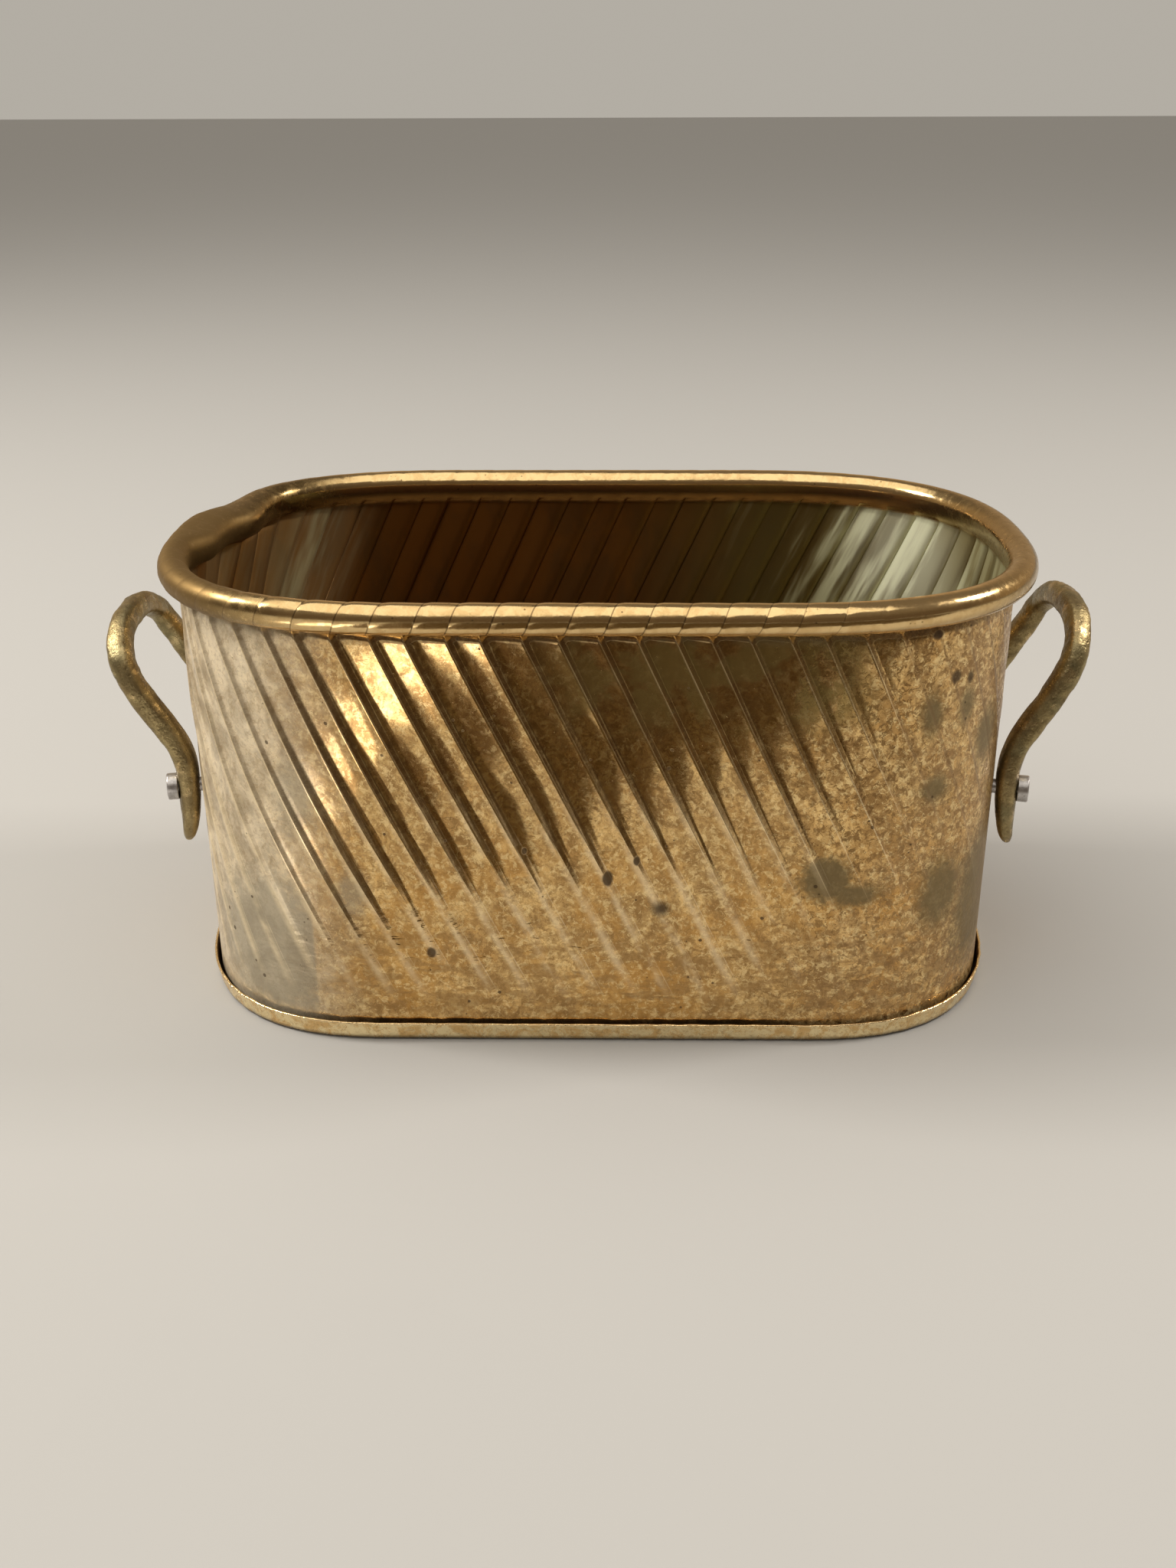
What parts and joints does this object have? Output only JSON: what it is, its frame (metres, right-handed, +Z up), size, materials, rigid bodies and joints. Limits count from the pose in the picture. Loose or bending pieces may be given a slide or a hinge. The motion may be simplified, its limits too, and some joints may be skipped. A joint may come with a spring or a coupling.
{
  "type": "planter pot",
  "caption": "Oblong pleated brass planter pot with a rolled rim, a shallow base pan and a riveted cast handle at each end.",
  "frame": {"origin": "centre of the base pan's underside, on the surface the pot stands on", "axes": "+X along the pot towards the right-hand handle, +Y from the front side to the rear side, +Z up"},
  "size_m": [0.2174, 0.1116, 0.1007],
  "materials": {
    "sheet_brass": "polished sheet with worn lacquer and brown tarnish",
    "cast_brass": "dull olive-brown cast surface",
    "wire_steel": "plain drawn wire",
    "rivet_metal": "dull silver-grey"
  },
  "bodies": {
    "root": {"body_wall": "sheet_brass", "base_pan": "sheet_brass", "rim_wire": "wire_steel", "handle_left": "cast_brass", "handle_right": "cast_brass", "rivet_left_front": "rivet_metal", "rivet_left_rear": "rivet_metal", "rivet_right_front": "rivet_metal", "rivet_right_rear": "rivet_metal"}
  },
  "joints": []
}
